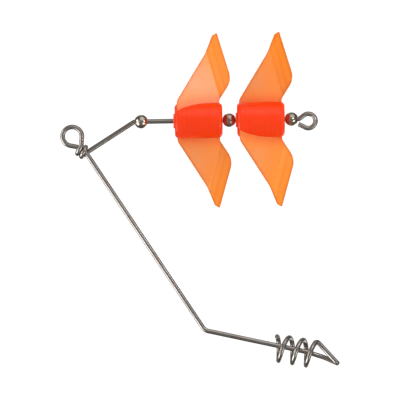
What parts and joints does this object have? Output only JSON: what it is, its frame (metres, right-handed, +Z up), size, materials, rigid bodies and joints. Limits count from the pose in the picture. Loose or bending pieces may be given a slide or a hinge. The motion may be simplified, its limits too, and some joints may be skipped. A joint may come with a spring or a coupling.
{
  "type": "inline spinner",
  "caption": "Inline spinner: counter-rotating propellers spin between beads on a bent spring wire that also makes the line eye and a screw-in holder for a soft lure.",
  "frame": {"origin": "centre of the line eye", "axes": "+X along the propeller shaft, from its front bend to its end loop; +Z up, from the screw-in holder to the shaft; +Y is the far side, and the eye's hole runs along it"},
  "size_m": [0.0599, 0.0104, 0.0732],
  "materials": {
    "wire": "bright drawn spring wire",
    "bead": "polished",
    "propeller": "translucent fluorescent orange, moulded",
    "bush": "smooth fluorescent orange tube"
  },
  "bodies": {
    "frame": {"wire_frame": "wire"},
    "front_bead": {"bead_front": "bead"},
    "rear_bead": {"bead_rear": "bead"},
    "rear_propeller": {"propeller_rear": "propeller", "bush_rear": "bush"},
    "middle_bead": {"bead_middle": "bead"},
    "front_propeller": {"propeller_front": "propeller", "bush_front": "bush"}
  },
  "joints": [
    {"name": "front_bead_slide", "type": "slide", "parent": "frame", "child": "front_bead", "axis": [1, 0, 0], "range_m": [0, 0.0055]},
    {"name": "stack_slide", "type": "slide", "parent": "frame", "child": "rear_bead", "axis": [1, 0, 0], "range_m": [-0.0055, 0]},
    {"name": "rear_propeller_spin", "type": "hinge", "parent": "rear_bead", "child": "rear_propeller", "pos_m": [0.04112, 0.0011, 0.003], "axis": [1, 0, 0], "continuous": true},
    {"name": "middle_bead_spin", "type": "hinge", "parent": "rear_bead", "child": "middle_bead", "pos_m": [0.03419, 0.0011, 0.003], "axis": [1, 0, 0], "continuous": true},
    {"name": "front_propeller_spin", "type": "hinge", "parent": "rear_bead", "child": "front_propeller", "pos_m": [0.02756, 0.0011, 0.003], "axis": [1, 0, 0], "continuous": true}
  ]
}
